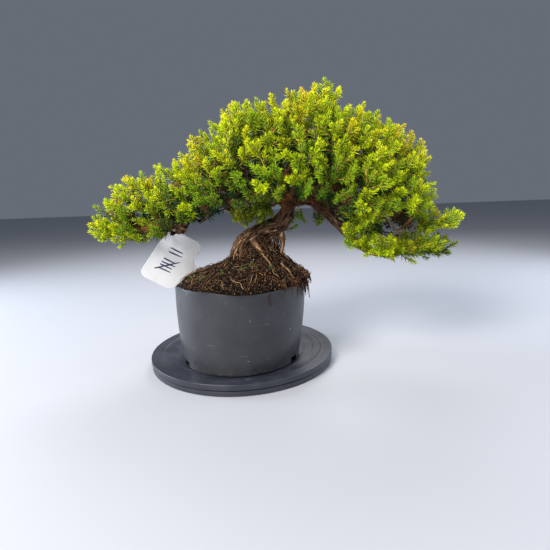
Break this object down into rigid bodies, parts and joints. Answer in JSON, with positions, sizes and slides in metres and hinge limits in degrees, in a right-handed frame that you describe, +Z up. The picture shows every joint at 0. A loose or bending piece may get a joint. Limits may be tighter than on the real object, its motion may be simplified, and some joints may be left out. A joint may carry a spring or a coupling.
{
  "type": "juniper bonsai in a nursery pot",
  "caption": "Low garden juniper trained as a leaning bonsai with a broad drooping crown, in a round cut-down nursery pot with a label, on a two-disc turntable that turns.",
  "frame": {"origin": "centre of the turntable's underside, on its turning axis, where it rests", "axes": "+Z up; +X to the right as seen from the front, along the crown's length; -Y towards the front"},
  "size_m": [0.3832, 0.2091, 0.2855],
  "materials": {
    "turntable_plastic": "satin",
    "bearing_steel": "polished",
    "pot_plastic": "satin",
    "potting_soil": "matte",
    "juniper_bark": "matte",
    "label_plastic": "satin",
    "juniper_needles": "matte"
  },
  "bodies": {
    "base": {"turntable_base": "turntable_plastic", "pivot_pin": "bearing_steel", "bearing_ring": "bearing_steel"},
    "turntable": {"turntable_plate": "turntable_plastic", "nursery_pot": "pot_plastic", "soil": "potting_soil", "wood": "juniper_bark", "plant_label": "label_plastic", "spray_01": "juniper_needles", "spray_02": "juniper_needles", "spray_03": "juniper_needles", "spray_04": "juniper_needles", "spray_05": "juniper_needles", "spray_06": "juniper_needles", "spray_07": "juniper_needles", "spray_08": "juniper_needles", "spray_09": "juniper_needles", "spray_10": "juniper_needles", "spray_11": "juniper_needles", "spray_12": "juniper_needles", "spray_13": "juniper_needles", "spray_14": "juniper_needles", "spray_15": "juniper_needles", "spray_16": "juniper_needles", "spray_17": "juniper_needles", "spray_18": "juniper_needles", "spray_19": "juniper_needles", "spray_20": "juniper_needles", "spray_21": "juniper_needles", "spray_22": "juniper_needles", "spray_23": "juniper_needles", "spray_24": "juniper_needles", "spray_25": "juniper_needles", "spray_26": "juniper_needles", "spray_27": "juniper_needles", "spray_28": "juniper_needles", "spray_29": "juniper_needles", "spray_30": "juniper_needles", "spray_31": "juniper_needles", "spray_32": "juniper_needles", "spray_33": "juniper_needles", "spray_34": "juniper_needles", "spray_35": "juniper_needles", "spray_36": "juniper_needles", "spray_37": "juniper_needles", "spray_38": "juniper_needles", "spray_39": "juniper_needles", "spray_40": "juniper_needles", "spray_41": "juniper_needles", "spray_42": "juniper_needles", "spray_43": "juniper_needles", "spray_44": "juniper_needles", "spray_45": "juniper_needles", "spray_46": "juniper_needles", "spray_47": "juniper_needles"}
  },
  "joints": [
    {"name": "turntable_spin", "type": "hinge", "parent": "base", "child": "turntable", "pos_m": [0, 0, 0], "axis": [0, 0, 1], "continuous": true}
  ]
}
